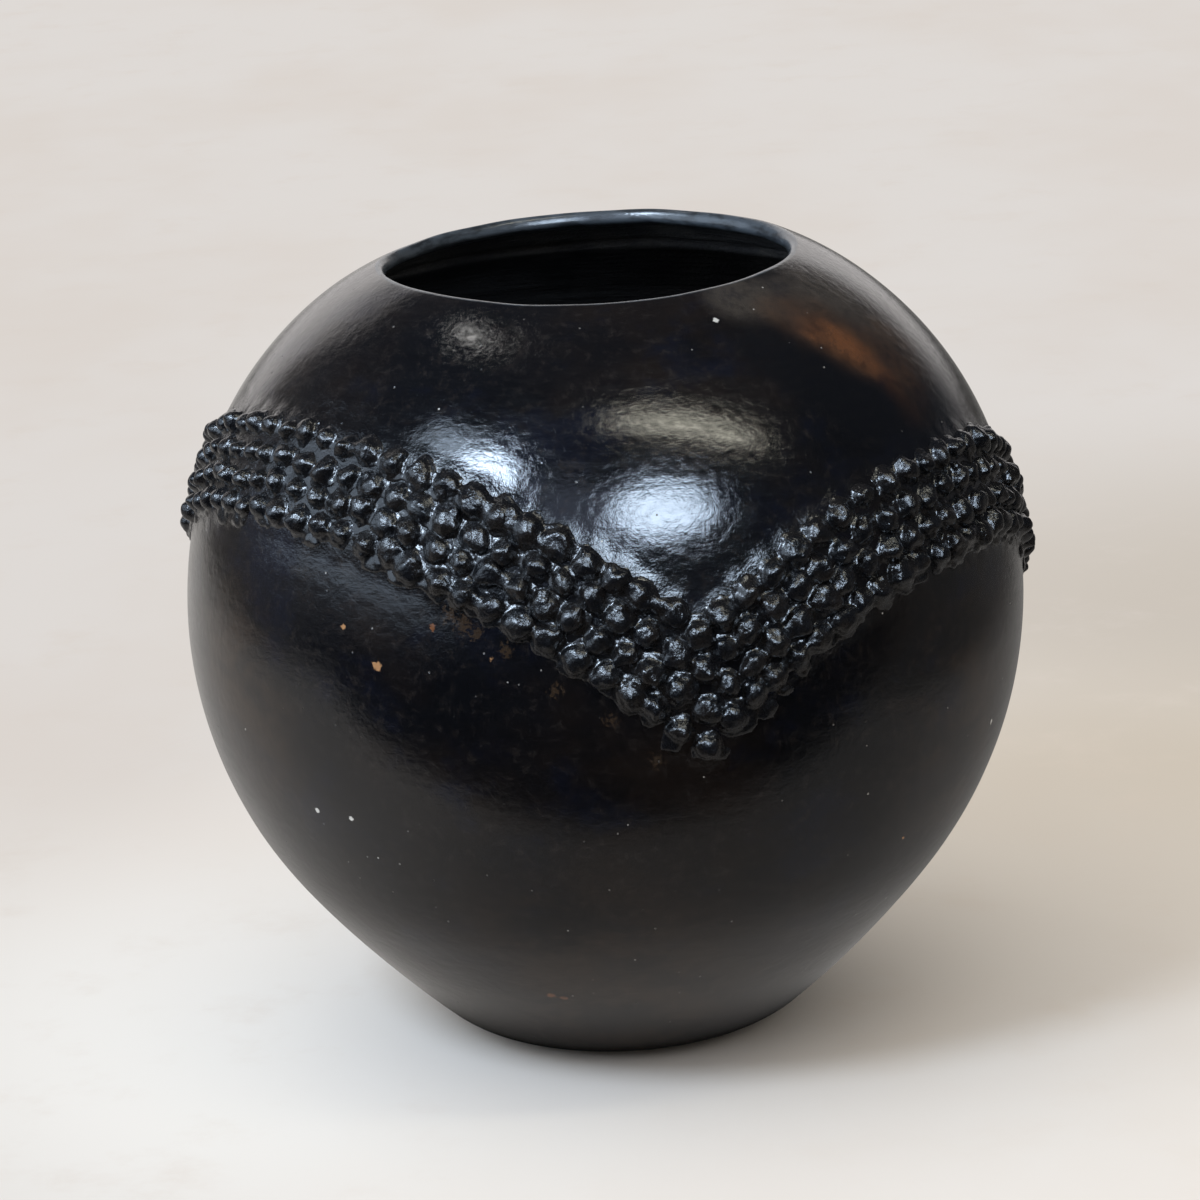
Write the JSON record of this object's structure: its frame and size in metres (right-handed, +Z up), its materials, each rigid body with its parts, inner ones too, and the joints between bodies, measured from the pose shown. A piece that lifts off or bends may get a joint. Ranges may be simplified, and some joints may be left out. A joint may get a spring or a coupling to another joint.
{
  "type": "beer pot",
  "caption": "Round-bellied clay beer pot with a small flat foot, a wide unlipped mouth and a garland of raised pellets laid in arches round its shoulder.",
  "frame": {"origin": "centre of the flat face the pot rests on, on the pot's axis", "axes": "+Z up along the pot's axis, -Y to the front, towards the garland's deep valley side"},
  "size_m": [0.3277, 0.3264, 0.3009],
  "materials": {
    "burnished_clay": "burnished glossy black",
    "pellet_clay": "satin black, polished by handling on the tops"
  },
  "bodies": {
    "root": {"base_pad": "burnished_clay", "wall_coil_1": "burnished_clay", "wall_coil_2": "burnished_clay", "wall_coil_3": "burnished_clay", "wall_coil_4": "burnished_clay", "wall_coil_5": "burnished_clay", "wall_coil_6": "burnished_clay", "wall_coil_7": "burnished_clay", "wall_coil_8": "burnished_clay", "rim_coil": "burnished_clay", "amasumpa_left_row_1": "pellet_clay", "amasumpa_left_row_2": "pellet_clay", "amasumpa_left_row_3": "pellet_clay", "amasumpa_left_row_4": "pellet_clay", "amasumpa_right_row_1": "pellet_clay", "amasumpa_right_row_2": "pellet_clay", "amasumpa_right_row_3": "pellet_clay", "amasumpa_right_row_4": "pellet_clay", "amasumpa_back_row_1": "pellet_clay", "amasumpa_back_row_2": "pellet_clay", "amasumpa_back_row_3": "pellet_clay", "amasumpa_back_row_4": "pellet_clay"}
  },
  "joints": []
}
